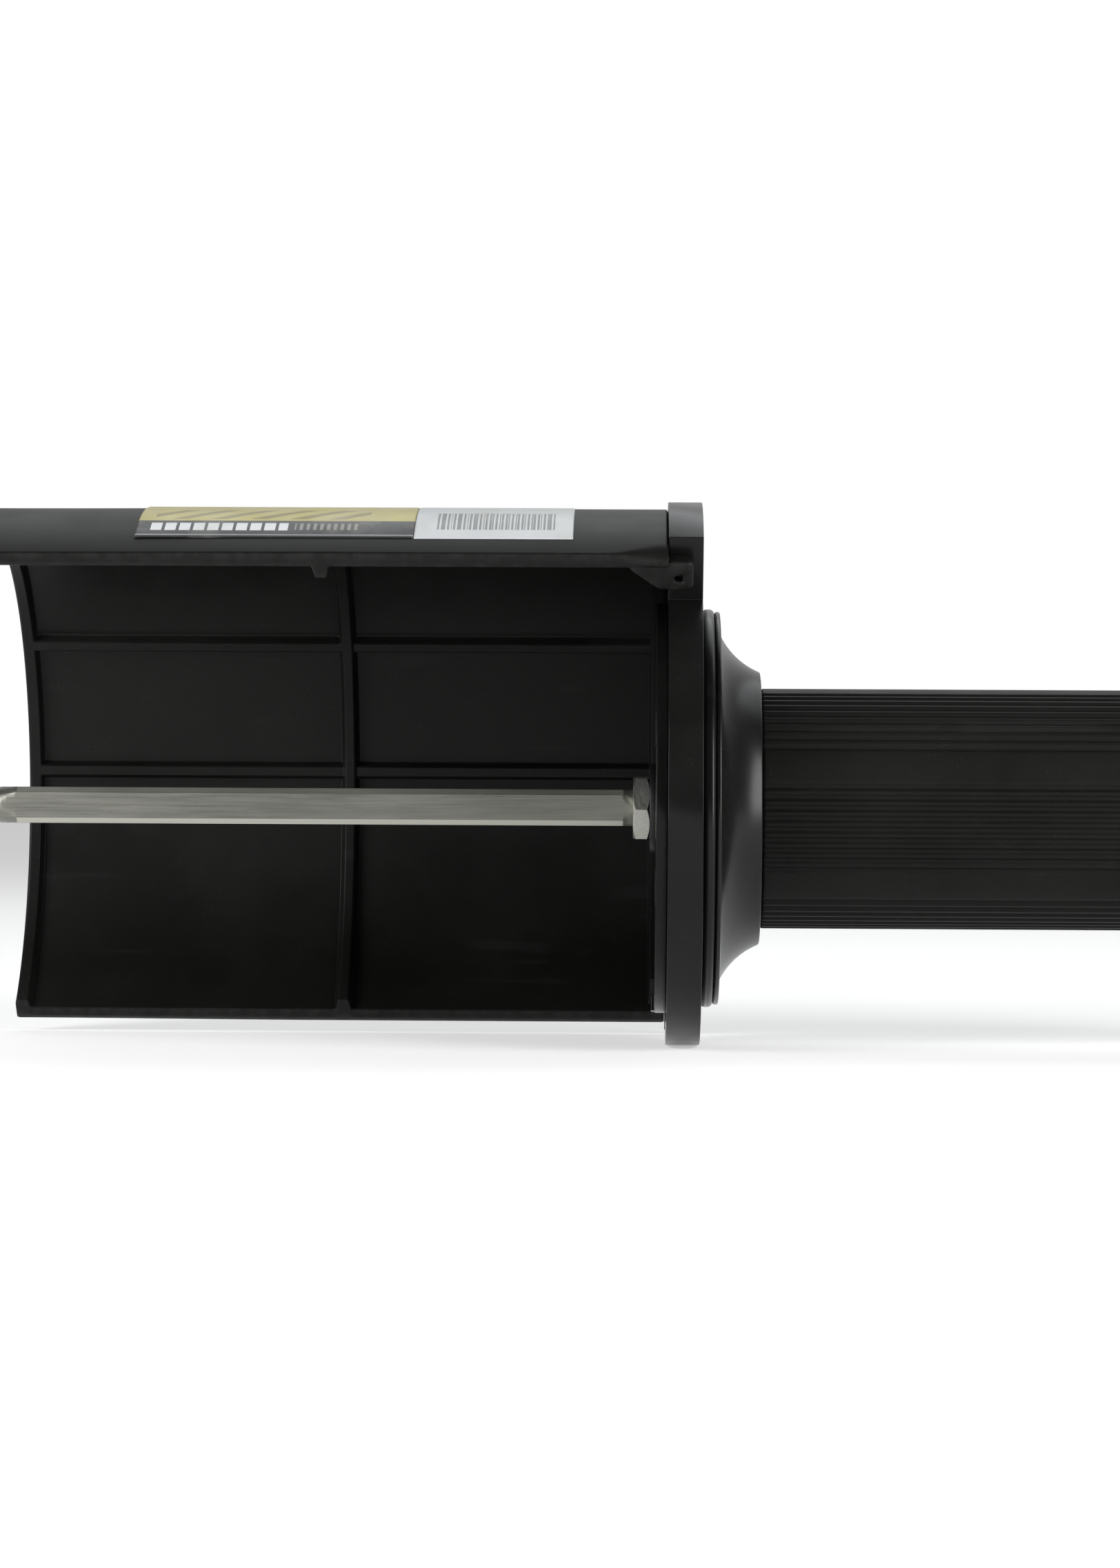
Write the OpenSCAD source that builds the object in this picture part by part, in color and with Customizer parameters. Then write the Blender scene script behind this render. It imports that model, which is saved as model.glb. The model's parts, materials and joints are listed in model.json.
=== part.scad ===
// Hand tool that carries a roller on a square spindle, with a half-tube guard and a fluted grip.
// Frame: +X runs along the spindle towards the grip, +Y points away from the guard's open side,
// +Z is up. The origin is on the spindle's axis, at the guard side of the end plate.
// Angles round the axis are measured from +Y towards +Z.

/* [Guard] */
// Outer radius of the half-tube guard
guard_r = 49.5; // [48:0.5:54]
// Wall of the guard
guard_wall = 2.7; // [2:0.1:3.2]
// Length of the guard, from its open end to the end plate
guard_length = 112.7; // [100:0.1:130]
// Angle of the guard's lower lip
guard_low_angle = -49.5; // [-60:0.5:-45]
// Angle of the guard's upper lip
guard_high_angle = 125; // [118:0.5:135]
// Height of the ribs inside the guard
rib_height = 1.7; // [1:0.1:2]
// Width of the ribs inside the guard
rib_width = 2.2; // [1.5:0.1:3]
// Angle of the first lengthwise rib
rib_first_angle = 7.5; // [0:0.5:15]
// Angle between lengthwise ribs
rib_angle_step = 30; // [20:1:35]

/* [End plate] */
// Thickness of the end plate
plate_t = 5.6; // [5:0.1:7]
// Radius of the end plate behind the guard
plate_r = 50.7; // [50:0.1:55]
// Radius of the end plate on the open side
plate_small_r = 39.3; // [37:0.1:41]
// Angle of the end plate's lower step
plate_low_angle = -50; // [-60:0.5:-46]
// Angle of the end plate's upper step
plate_high_angle = 121; // [115:0.5:130]
// Number of screws that hold the guard to the end plate
guard_screw_count = 5; // [3:1:5]

/* [Hub] */
// Radius of the spigot that the end plate turns on
spigot_r = 24; // [23:0.1:25]
// Radius of the friction ring between end plate and hub
friction_ring_r = 33; // [31.5:0.1:34]
// Radius of the retaining ring on the guard side
retaining_ring_r = 34; // [30:0.1:36]
// Thickness of the retaining ring
retaining_ring_t = 1.8; // [1.8:0.1:2.2]
// Radius of the hub's rim
hub_rim_r = 32.6; // [31:0.1:33]
// Radius of the hub's concave flare
flare_r = 12.4; // [12:0.1:12.8]

/* [Grip] */
// Radius of the grip over its lands
grip_r = 19.9; // [18:0.1:20.5]
// Length of the grip
grip_length = 109.5; // [90:0.5:130]
// Groups of grooves round the grip
flute_groups = 6; // [3:1:6]
// Grooves in each group
flutes_per_group = 9; // [3:1:9]
// Angle between grooves
flute_pitch = 5.06; // [4.5:0.01:5.4]
// Radius of each groove
flute_r = 0.5; // [0.3:0.05:0.6]
// Radius of the core tube
core_r = 13.5; // [13:0.1:14]

/* [Spindle] */
// Width across the spindle's flats
spindle_af = 6; // [6:0.1:6.6]
// Bevel along the spindle's four edges
spindle_bevel = 0.9; // [0.5:0.1:1]
// Length of the square part
square_length = 103.6; // [90:0.1:110]
// Length of the threaded stud at the spindle's free end
stud_length = 11; // [8:0.5:16]
// Radius of both threaded ends
thread_r = 2.95; // [2.9:0.01:2.95]
// Width across the jam nut's flats
nut_af = 10; // [9.5:0.1:10]
// Thickness of the jam nut
nut_t = 2.75; // [2.4:0.05:3]

/* [Hidden] */

seat = 0.05;         // gap between pieces that don't move on each other
running = 0.05;      // radial gap of the spindle's bushes
swivel = 0.08;       // radial gap of the end plate on the hub's spigot
weld = 0.6;          // how far ribs sink into the wall that carries them
fine = 128;          // facets of a large circle
small = 48;          // facets of a small circle

// Guard
guard_inner_r = guard_r - guard_wall;
rib_crest_r = guard_inner_r - rib_height;
rim_rib_width = 2.3;
mid_rib_x = -56.8;
mid_rib_height = 2.2;
end_flange_t = 2.6;
end_flange_r = 41.3;
end_flange_angles = [guard_low_angle + 3, guard_high_angle - 9];

// Ear on the upper lip, which laps the end plate's upper step
ear_r = [42.6, 47.8];
ear_x1 = 4;
ear_angles = [plate_high_angle + 0.35, guard_high_angle - 0.3];
ear_hole_r = 0.75;
ear_hole_depth = 1.6;
ear_hole_pos = [44.7, 1.7];          // radius and x

// End plate
plate_x0 = seat;
plate_x1 = plate_x0 + plate_t;
plate_bore_r = spigot_r + swivel;

// Screws that hold the guard to the end plate
guard_screw_r = 1.5;
guard_screw_pcr = 44.6;
guard_screw_angles = [for (i = [0 : guard_screw_count - 1]) -36 + 36 * i];
pan_head_r = 2.8;
pan_head_t = 1.8;
pan_sink = 2.2;
pan_seat_x = plate_x1 - pan_sink;

// Hub
hub_x0 = plate_x1 + seat + 2.1;      // guard side of the hub's rim
hub_rim_t = 0.9;
hub_x1 = hub_x0 + 7.6;
flare_centre = [34.1, hub_x0 + 12.2];
boss_r = 10.9;                       // boss that carries the front bush, inside the core tube
boss_x1 = 13;
socket_x0 = 3;

// Ring of countersunk screws that holds the retaining ring
ring_bore_r = 9;
ring_screw_count = 4;
ring_screw_pcr = 18.5;
ring_screw_r = 1.5;
ring_screw_head_r = 3;
ring_screw_x1 = 8;
ring_lug = [2.6, 3, 0.6];
ring_lug_angle = -97;

// Core tube, grip and end cap
core_wall = 2.5;
core_inner_r = core_r - core_wall;
core_x0 = socket_x0 + 0.2;
grip_x0 = hub_x1 + seat;
grip_x1 = grip_x0 + grip_length;
flute_first = -10.7;                 // first groove of the group that faces the open side
plug_length = 17;
cap_r = 20.5;
cap_t = 6;
cap_chamfer = 1.6;
cap_screw_r = 2;
cap_screw_head_r = 4;
cap_screw_length = 20;
core_pin_r = 1.5;
core_pin_x = 5.4;
core_pin_ends = [9.5, 22.5];

// Bushes, sleeve and spindle
sleeve_r = 5;
bush_r = 7;
bush_flange_r = 8;
front_bush_x0 = -0.85;
front_bush_flange_t = 2;
front_bush_x1 = 12.8;
washer_t = 0.5;
washer_r = 7.4;
washer_x0 = front_bush_x0 - running - washer_t;
sleeve_x0 = -2.75;
sleeve_x1 = 62;
carrier_x0 = 44;
carrier_x1 = 56;
rear_flange_t = 1.5;
rear_washer_x0 = carrier_x1 + seat + rear_flange_t + running;
clip_x0 = rear_washer_x0 + washer_t + running;
clip_t = 1;
clip_groove_r = 4.5;
clip_gap_angle = 70;
thread_depth = 24;
square_x1 = -7.2;
square_x0 = square_x1 - square_length;
nut_x0 = sleeve_x0 - nut_t;
nut_turn = 3;
run_out = 2.9;                       // length over which the square runs out into the stud

// Label
label_t = 0.15;
label_low_angle = 74;
label_high_angle = 119.5;
front_label_x = [-85.9, -41];
code_label_x = [-40.9, -15.3];

// Turns local Z into X, so that local angles run from +Y towards +Z
module along_x() {
    rotate([90, 0, 90])
        children();
}

// Rod or, with an inner radius, tube from x0 to x1
module tube_x(r_out, r_in, x0, x1, facets = fine) {
    along_x()
        translate([0, 0, x0])
            difference() {
                cylinder(h = x1 - x0, r = r_out, $fn = facets);
                if (r_in > 0)
                    translate([0, 0, -1])
                        cylinder(h = x1 - x0 + 2, r = r_in, $fn = facets);
            }
}

// Part of a tube between two angles
module arc_band(r0, r1, x0, x1, a0, a1) {
    along_x()
        translate([0, 0, x0])
            rotate([0, 0, a0])
                rotate_extrude(angle = a1 - a0, $fn = fine)
                    translate([r0, 0])
                        square([r1 - r0, x1 - x0]);
}

// Body of revolution, whose outline is drawn as radius against x
module turned() {
    along_x()
        rotate_extrude($fn = fine)
            children();
}

// Rectangle of a turned outline between two radii and two x
module ring_section(r0, r1, x0, x1) {
    translate([r0, x0])
        square([r1 - r0, x1 - x0]);
}

// Children at a radius and an angle round the axis, with local Z still along x
module polar(r, a) {
    along_x()
        rotate([0, 0, a])
            translate([r, 0, 0])
                children();
}

// Cross recess in the head of a screw, cut downwards from the origin
module cross_recess(width, depth) {
    for (turn = [45, 135])
        rotate([0, 0, turn])
            translate([-width / 2, -width / 8, -depth])
                cube([width, width / 4, depth + 0.5]);
}

// Half-tube with a rim rib, a middle rib, lengthwise ribs and an end flange inside, and an ear
module guard_shell() {
    x0 = -guard_length;
    low = guard_low_angle;
    high = guard_high_angle;
    mid_rib_x1 = mid_rib_x + rib_width;
    color("#1b1c1e")
        difference() {
            union() {
                arc_band(guard_inner_r, guard_r, x0, 0, low, high);
                arc_band(rib_crest_r, guard_inner_r + weld, x0, x0 + rim_rib_width, low, high);
                arc_band(guard_inner_r - mid_rib_height, guard_inner_r + weld,
                    mid_rib_x, mid_rib_x1, low, high);
                arc_band(end_flange_r, guard_inner_r + weld, -end_flange_t, 0,
                    end_flange_angles[0], end_flange_angles[1]);
                arc_band(ear_r[0], ear_r[1], -end_flange_t, ear_x1, ear_angles[0], ear_angles[1]);
                for (i = [0 : 2])
                    polar(rib_crest_r, rib_first_angle + i * rib_angle_step)
                        translate([0, -rib_width / 2, x0 + rim_rib_width / 2])
                            cube([rib_height + weld, rib_width, guard_length - rim_rib_width]);
            }
            for (a = guard_screw_angles)
                polar(guard_screw_pcr, a)
                    translate([0, 0, -end_flange_t - 1])
                        cylinder(h = end_flange_t + 2, r = guard_screw_r + seat, $fn = small);
            polar(ear_hole_pos[0], ear_angles[1])
                translate([0, 1, ear_hole_pos[1]])
                    rotate([90, 0, 0])
                        cylinder(h = 1 + ear_hole_depth, r = ear_hole_r, $fn = small);
        }
}

// Thick plate that closes the guard and turns on the hub's spigot
module end_plate() {
    color("#17181a")
        difference() {
            union() {
                arc_band(spigot_r - 1, plate_r, plate_x0, plate_x1, plate_low_angle, plate_high_angle);
                tube_x(plate_small_r, 0, plate_x0, plate_x1);
            }
            tube_x(plate_bore_r, 0, plate_x0 - 1, plate_x1 + 1);
            for (a = guard_screw_angles)
                polar(guard_screw_pcr, a) {
                    translate([0, 0, plate_x0 - 1])
                        cylinder(h = plate_t + 2, r = guard_screw_r + 0.15, $fn = small);
                    translate([0, 0, pan_seat_x])
                        cylinder(h = pan_sink + 1, r = pan_head_r + 0.4, $fn = small);
                }
        }
}

// Pan head screws that hold the guard's end flange to the end plate
module guard_screws() {
    color("#6d7073")
        for (a = guard_screw_angles)
            polar(guard_screw_pcr, a)
                difference() {
                    union() {
                        translate([0, 0, -end_flange_t])
                            cylinder(h = pan_seat_x + end_flange_t + 0.5, r = guard_screw_r, $fn = small);
                        translate([0, 0, pan_seat_x])
                            cylinder(h = pan_head_t, r = pan_head_r, $fn = small);
                    }
                    translate([0, 0, pan_seat_x + pan_head_t])
                        cross_recess(3.4, 1.1);
                }
}

// Sticker with the coloured band, on top of the guard
module front_label() {
    color("#d7cd64")
        arc_band(guard_r + 0.02, guard_r + 0.02 + label_t, front_label_x[0], front_label_x[1],
            label_low_angle, label_high_angle);
}

// White sticker beside it
module code_label() {
    color("#e1e4e4")
        arc_band(guard_r + 0.02, guard_r + 0.02 + label_t, code_label_x[0], code_label_x[1],
            label_low_angle, label_high_angle);
}

// Flared hub: spigot for the end plate, boss for the front bush, socket for the core tube
module hub() {
    color("#1d1e20")
        difference() {
            turned()
                difference() {
                    union() {
                        ring_section(bush_r + seat, spigot_r, 0, hub_x0 + 1);
                        ring_section(bush_r + seat, hub_rim_r, hub_x0, hub_x0 + hub_rim_t);
                        difference() {
                            ring_section(bush_r + seat, hub_rim_r, hub_x0, hub_x1);
                            translate(flare_centre)
                                circle(r = flare_r, $fn = fine);
                            ring_section(flare_centre[0], flare_centre[0] + flare_r, hub_x0, hub_x1 + 1);
                        }
                    }
                    ring_section(core_inner_r - seat, core_r + seat, socket_x0, hub_x1 + 1);
                    ring_section(0, core_inner_r, boss_x1, hub_x1 + 1);
                    ring_section(0, bush_flange_r + seat, -1, front_bush_x0 + front_bush_flange_t + seat);
                }
            for (i = [0 : ring_screw_count - 1])
                polar(ring_screw_pcr, 45 + i * 360 / ring_screw_count)
                    translate([0, 0, -1])
                        cylinder(h = ring_screw_x1 + 1.2, r = ring_screw_r + seat, $fn = small);
            core_pin_holes();
        }
}

// Radial holes for the pins, open at the spigot's surface
module core_pin_holes() {
    for (a = [0, 180])
        along_x()
            rotate([0, 0, a])
                translate([core_pin_ends[0] - 0.2, 0, core_pin_x])
                    rotate([0, 90, 0])
                        cylinder(h = spigot_r - core_pin_ends[0] + 1, r = core_pin_r + seat / 2, $fn = small);
}

// Nylon ring that the end plate rubs on
module friction_ring() {
    color("#101112")
        tube_x(friction_ring_r, spigot_r + 0.1, plate_x1 + seat, hub_x0 - seat);
}

// Ring screwed to the spigot, which keeps the end plate on it
module retaining_ring() {
    color("#141517")
        difference() {
            union() {
                tube_x(retaining_ring_r, ring_bore_r, -retaining_ring_t, 0);
                polar(retaining_ring_r - ring_lug[0], ring_lug_angle)
                    translate([0, -ring_lug[1] / 2, -retaining_ring_t - ring_lug[2]])
                        cube([ring_lug[0] - 0.2, ring_lug[1], ring_lug[2] + 1]);
            }
            for (i = [0 : ring_screw_count - 1])
                polar(ring_screw_pcr, 45 + i * 360 / ring_screw_count)
                    translate([0, 0, -retaining_ring_t])
                        ring_screw_body(seat, 1);
        }
}

// Countersunk screw from its head's face at the origin, grown by a gap
module ring_screw_body(gap, over) {
    head_h = ring_screw_head_r - ring_screw_r;
    translate([0, 0, -over])
        cylinder(h = ring_screw_x1 + retaining_ring_t + over, r = ring_screw_r + gap, $fn = small);
    cylinder(h = head_h, r1 = ring_screw_head_r + gap, r2 = ring_screw_r + gap, $fn = small);
    if (over > 0)
        translate([0, 0, -over])
            cylinder(h = over, r = ring_screw_head_r + gap, $fn = small);
}

// Countersunk screws that hold the retaining ring
module retaining_screws() {
    color("#7b7e80")
        for (i = [0 : ring_screw_count - 1])
            polar(ring_screw_pcr, 45 + i * 360 / ring_screw_count)
                translate([0, 0, -retaining_ring_t])
                    difference() {
                        ring_screw_body(0, 0);
                        mirror([0, 0, 1])
                            cross_recess(3.2, 1);
                    }
}

// Tube that carries the grip and holds the rear bush
module core_tube() {
    color("#8b8e90")
        difference() {
            tube_x(core_r, core_inner_r, core_x0, grip_x1 - seat);
            core_pin_holes();
        }
}

// Pins through the spigot, the core tube and the boss
module core_pins() {
    color("#9a9c9e")
        for (a = [0, 180])
            along_x()
                rotate([0, 0, a])
                    translate([core_pin_ends[0], 0, core_pin_x])
                        rotate([0, 90, 0])
                            cylinder(h = core_pin_ends[1] - core_pin_ends[0], r = core_pin_r, $fn = small);
}

// Flanged bush in the hub
module front_bush() {
    color("#a5793a")
        turned()
            union() {
                ring_section(sleeve_r + running, bush_r, front_bush_x0, front_bush_x1);
                ring_section(sleeve_r + running, bush_flange_r, front_bush_x0,
                    front_bush_x0 + front_bush_flange_t);
            }
}

// Collar pressed into the core tube, which carries the rear bush
module bush_carrier() {
    color("#2a2b2d")
        tube_x(core_inner_r - seat, bush_r + seat, carrier_x0, carrier_x1);
}

// Flanged bush at the far end of the drive sleeve
module rear_bush() {
    color("#a5793a")
        turned()
            union() {
                ring_section(sleeve_r + running, bush_r, carrier_x0, carrier_x1 + seat + rear_flange_t);
                ring_section(sleeve_r + running, bush_flange_r, carrier_x1 + seat,
                    carrier_x1 + seat + rear_flange_t);
            }
}

// Fluted sleeve: groups of fine grooves with plain lands between them
module grip() {
    color("#191a1b")
        along_x()
            translate([0, 0, grip_x0])
                linear_extrude(grip_length)
                    difference() {
                        circle(r = grip_r, $fn = fine);
                        circle(r = core_r + seat, $fn = fine);
                        for (group = [0 : flute_groups - 1], i = [0 : flutes_per_group - 1])
                            rotate(180 + flute_first + group * 360 / flute_groups + i * flute_pitch)
                                translate([grip_r + 0.08, 0])
                                    circle(r = flute_r, $fn = small / 2);
                    }
}

// Plug pressed into the end of the core tube
module end_plug() {
    color("#2a2b2d")
        tube_x(core_inner_r - seat, cap_screw_r + seat, grip_x1 - seat - plug_length, grip_x1 - seat);
}

// Cap over the ends of the grip and the core tube
module end_cap() {
    x1 = grip_x1 + seat + cap_t;
    head_h = cap_screw_head_r - cap_screw_r;
    color("#18191a")
        turned()
            difference() {
                polygon([
                    [cap_screw_r + 0.2, grip_x1 + seat], [cap_r, grip_x1 + seat],
                    [cap_r, x1 - cap_chamfer], [cap_r - cap_chamfer, x1], [cap_screw_r + 0.2, x1]
                ]);
                polygon([
                    [0, x1 - head_h - 0.4], [cap_screw_r + 0.2, x1 - head_h - 0.4],
                    [cap_screw_head_r + 0.2, x1 - 0.4], [cap_screw_head_r + 0.2, x1 + 1], [0, x1 + 1]
                ]);
            }
}

// Countersunk screw that holds the cap to the plug
module end_cap_screw() {
    x1 = grip_x1 + seat + cap_t - 0.4;
    head_h = cap_screw_head_r - cap_screw_r;
    color("#7b7e80")
        difference() {
            turned()
                polygon([
                    [0, x1 - cap_screw_length], [cap_screw_r, x1 - cap_screw_length],
                    [cap_screw_r, x1 - head_h], [cap_screw_head_r, x1], [0, x1]
                ]);
            along_x()
                translate([0, 0, x1])
                    cross_recess(4.4, 1.4);
        }
}

// Square bar with bevelled edges, turned round and threaded at both ends
module spindle() {
    half = spindle_af / 2;
    flat = half - spindle_bevel;
    far = spindle_af;
    shank_x1 = thread_depth;
    neck_x1 = square_x1 + run_out * 0.6;
    color("#85857b")
        union() {
            intersection() {
                along_x()
                    translate([0, 0, square_x0])
                        linear_extrude(neck_x1 - square_x0)
                            polygon([
                                [half, -flat], [half, flat], [flat, half], [-flat, half],
                                [-half, flat], [-half, -flat], [-flat, -half], [flat, -half]
                            ]);
                turned()
                    polygon([
                        [0, square_x0], [thread_r, square_x0], [norm([half, flat]), square_x0 + run_out],
                        [far, square_x0 + 2 * run_out], [far, square_x1 - run_out],
                        [norm([half, flat]), square_x1], [thread_r, neck_x1], [0, neck_x1]
                    ]);
            }
            turned()
                polygon([
                    [0, square_x0 - stud_length], [thread_r - 0.6, square_x0 - stud_length],
                    [thread_r, square_x0 - stud_length + 0.6], [thread_r, square_x0 + 0.2], [0, square_x0 + 0.2]
                ]);
            tube_x(thread_r, 0, neck_x1 - 0.2, shank_x1, small);
        }
}

// Thin hex nut that locks the spindle in the drive sleeve
module jam_nut() {
    corner_r = nut_af / 2 / cos(30);
    chamfer = corner_r - nut_af / 2 + 0.05;
    color("#7d7e78")
        difference() {
            intersection() {
                along_x()
                    translate([0, 0, nut_x0])
                        rotate([0, 0, nut_turn])
                            cylinder(h = nut_t, r = corner_r, $fn = 6);
                turned()
                    polygon([
                        [0, nut_x0], [nut_af / 2, nut_x0], [corner_r + 0.1, nut_x0 + chamfer * 0.6],
                        [corner_r + 0.1, nut_x0 + nut_t - chamfer * 0.6], [nut_af / 2, nut_x0 + nut_t],
                        [0, nut_x0 + nut_t]
                    ]);
            }
            tube_x(thread_r + seat, 0, nut_x0 - 1, nut_x0 + nut_t + 1, small);
        }
}

// Sleeve that turns in both bushes and takes the spindle's thread
module drive_sleeve() {
    flange_x1 = washer_x0 - running;
    color("#8f9193")
        turned()
            difference() {
                union() {
                    ring_section(0, washer_r, sleeve_x0, flange_x1);
                    ring_section(0, sleeve_r, sleeve_x0, sleeve_x1);
                }
                ring_section(0, thread_r + seat, sleeve_x0 - 1, thread_depth + 2);
                ring_section(clip_groove_r, sleeve_r + 1, clip_x0 - seat, clip_x0 + clip_t + seat);
            }
}

// Washer between the sleeve's flange and the front bush
module front_thrust_washer() {
    color("#b9bbbd")
        tube_x(washer_r, sleeve_r + seat, washer_x0, washer_x0 + washer_t);
}

// Washer between the rear bush and the circlip
module rear_thrust_washer() {
    color("#b9bbbd")
        tube_x(washer_r, sleeve_r + seat, rear_washer_x0, rear_washer_x0 + washer_t);
}

// Open ring in the groove of the drive sleeve
module circlip() {
    color("#55585a")
        arc_band(clip_groove_r + seat, washer_r, clip_x0, clip_x0 + clip_t,
            90 + clip_gap_angle / 2, 450 - clip_gap_angle / 2);
}

guard_shell();
end_plate();
guard_screws();
front_label();
code_label();
hub();
friction_ring();
retaining_ring();
retaining_screws();
core_tube();
core_pins();
front_bush();
bush_carrier();
rear_bush();
grip();
end_plug();
end_cap();
end_cap_screw();
spindle();
jam_nut();
drive_sleeve();
front_thrust_washer();
rear_thrust_washer();
circlip();
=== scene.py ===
import json
import math

import bmesh
import bpy
from mathutils import Matrix, Vector


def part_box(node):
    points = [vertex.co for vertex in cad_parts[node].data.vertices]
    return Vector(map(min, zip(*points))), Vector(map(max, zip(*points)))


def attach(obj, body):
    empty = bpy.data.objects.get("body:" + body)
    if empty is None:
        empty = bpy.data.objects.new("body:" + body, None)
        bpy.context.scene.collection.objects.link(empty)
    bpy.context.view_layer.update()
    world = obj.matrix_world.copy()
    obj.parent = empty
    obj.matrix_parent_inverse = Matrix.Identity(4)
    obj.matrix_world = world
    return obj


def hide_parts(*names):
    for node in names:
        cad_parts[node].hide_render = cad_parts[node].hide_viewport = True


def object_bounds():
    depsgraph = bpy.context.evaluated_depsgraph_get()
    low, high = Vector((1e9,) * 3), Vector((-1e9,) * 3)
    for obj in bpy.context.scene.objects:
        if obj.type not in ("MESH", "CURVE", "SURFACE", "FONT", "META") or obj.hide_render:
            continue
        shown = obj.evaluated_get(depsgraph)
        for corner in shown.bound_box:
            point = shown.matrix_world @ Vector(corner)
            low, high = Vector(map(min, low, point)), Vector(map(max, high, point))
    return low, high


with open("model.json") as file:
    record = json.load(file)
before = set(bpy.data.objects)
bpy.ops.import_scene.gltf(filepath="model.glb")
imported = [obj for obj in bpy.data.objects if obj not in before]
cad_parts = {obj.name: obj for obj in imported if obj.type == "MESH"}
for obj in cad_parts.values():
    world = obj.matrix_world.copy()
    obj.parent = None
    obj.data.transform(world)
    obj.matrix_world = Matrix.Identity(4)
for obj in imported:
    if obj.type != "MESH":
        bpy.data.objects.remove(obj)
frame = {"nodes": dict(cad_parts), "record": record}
cad_low, cad_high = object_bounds()

MM = 0.001


def box_mm(node):
    """A CAD node's lowest and highest corners in millimetres."""
    low_corner, high_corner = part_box(node)
    return Vector(low_corner) / MM, Vector(high_corner) / MM


# Sizes in millimetres, read from the CAD nodes or repeated from the part's driving dimensions.
# Angles are in degrees from +Y towards +Z.
GUARD_LOW, GUARD_HIGH = box_mm("guard_shell")
GRIP_LOW, GRIP_HIGH = box_mm("grip")
HUB_HIGH = box_mm("hub")[1]
SPINDLE_LOW, SPINDLE_HIGH = box_mm("spindle")
LABEL_LOW, LABEL_HIGH = box_mm("front_label")
CODE_LOW, CODE_HIGH = box_mm("code_label")

GUARD_R = GUARD_HIGH.z
GUARD_WALL = 2.7
GUARD_INNER_R = GUARD_R - GUARD_WALL
GUARD_ANGLES = (-49.5, 125.0)
GUARD_X0 = GUARD_LOW.x
GUARD_EDGE = 0.45            # rounding of the lips and rims
LIP_CUT_LENGTH = 9.0         # where the upper lip is cut back beside the plate
LIP_CUT_WIDTH = 3.3
LIP_CUT_DEPTH = 1.7
LIP_SWELL = 0.28             # how far a lip's face bulges
RIB_HEIGHT = 1.7
RIB_WIDTH = 2.2
RIB_ANGLES = (7.5, 37.5, 67.5)
RIB_FLANK = 0.7              # width of a rib's filleted flank
RIB_FLANK_IN = 0.3           # how much of the flank lies within the rib's width
RIM_RIB_WIDTH = 2.3
RIM_RIB_FLANK = 0.6
MID_RIB_X = -55.7
MID_RIB_HEIGHT = 2.2
SINK_DEPTH = 0.03            # sink mark on the outside, opposite a rib
SINK_ANGLE = 1.6
FLANGE_T = 2.6
FLANGE_HEIGHT = 5.5
FLANGE_ANGLES = (-46.5, 116.0)
EAR_ANGLES = (121.35, 124.7)
EAR_OUTLINE = ((-6.5, 47.8), (-6.3, 46.4), (-1.6, 42.6), (4.0, 42.6), (4.0, 47.8))   # x and radius
EAR_CORNER = 1.1
EAR_HOLE = (1.7, 44.7)       # x and radius of its centre
EAR_HOLE_R = 0.75
EAR_HOLE_DEPTH = 1.6

GRIP_R = GRIP_HIGH.z
GRIP_BORE_R = 13.55
GRIP_EDGE = 0.6              # rounding of the ends
FLUTE_GROUPS = 6
FLUTE_GROUP_STEP = 360 / FLUTE_GROUPS
FLUTES_PER_GROUP = 9
FLUTE_PITCH = 5.06
FLUTE_R = 0.5
FLUTE_EASE = 0.08            # rounding of a groove's edges
FLUTE_FIRST = 180 - 10.7

SPIGOT_R = 24.0
HUB_X0 = 7.8
HUB_RIM_T = 0.9
FLARE_CENTRE = (20.0, 34.1)  # x and radius
FLARE_R = 12.4
HUB_SOCKET_R = 13.55
HUB_SOCKET_X0 = 3
HUB_BOSS_R = 10.9
HUB_BOSS_X1 = 13
HUB_BORE_R = 7.05
HUB_RECESS_R = 8.05          # recess for the bush's flange
HUB_RECESS_DEPTH = 1.2
HUB_CORNER = 0.55

BAR_HALF = SPINDLE_HIGH.z
BAR_FLAT = BAR_HALF - 0.9    # half the width of a face between its bevels
BEVEL_ANGLE = 35             # from the middle of a face to its bevel
THREAD_R = 2.95
THREAD_PITCH = 1.0
THREAD_DEPTH = 0.55
STUD_LENGTH = 11.0
STUD_CHAMFER = 0.6
SQUARE_X = (SPINDLE_LOW.x + STUD_LENGTH, -7.2)
RUN_OUT = 2.9
NECK_X = SQUARE_X[1] + RUN_OUT * 0.6

LABEL_X = (LABEL_LOW.x, LABEL_HIGH.x)
CODE_X = (CODE_LOW.x, CODE_HIGH.x)
LABEL_ANGLES = (74.0, 119.4)
LABEL_R = (GUARD_R + 0.02, GUARD_R + 0.15)   # underside and top
LABEL_EDGE_R = GUARD_R + 0.02 + 0.03         # top at the very edge
LABEL_BORDER = 0.3           # strip along the border, where a label gets thinner

CORNER_WEAR = 0.3            # how rubbed a place is, from 0 to 1
LIP_WEAR = 0.5
GROOVE_WEAR = 0.5
SAME_POINT = 1e-7            # points closer than this, in metres, become one


# ---------------------------------------------------------------- meshes

def add_piece(name, mesh, body, slot, *cad_nodes):
    """Links a mesh as a piece that rides on a body, has a slot's material and stands for CAD nodes."""
    piece = bpy.data.objects.new(name, mesh)
    bpy.context.scene.collection.objects.link(piece)
    mesh.materials.append(SLOT_MATERIALS[slot])
    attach(piece, body)
    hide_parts(*cad_nodes)
    weighted = piece.modifiers.new("even_normals", "WEIGHTED_NORMAL")
    weighted.weight = 60


def polar(radius, angle, x):
    """A point round the axis: angle in degrees from +Y towards +Z."""
    a = math.radians(angle)
    return (x, radius * math.cos(a), radius * math.sin(a))


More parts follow.
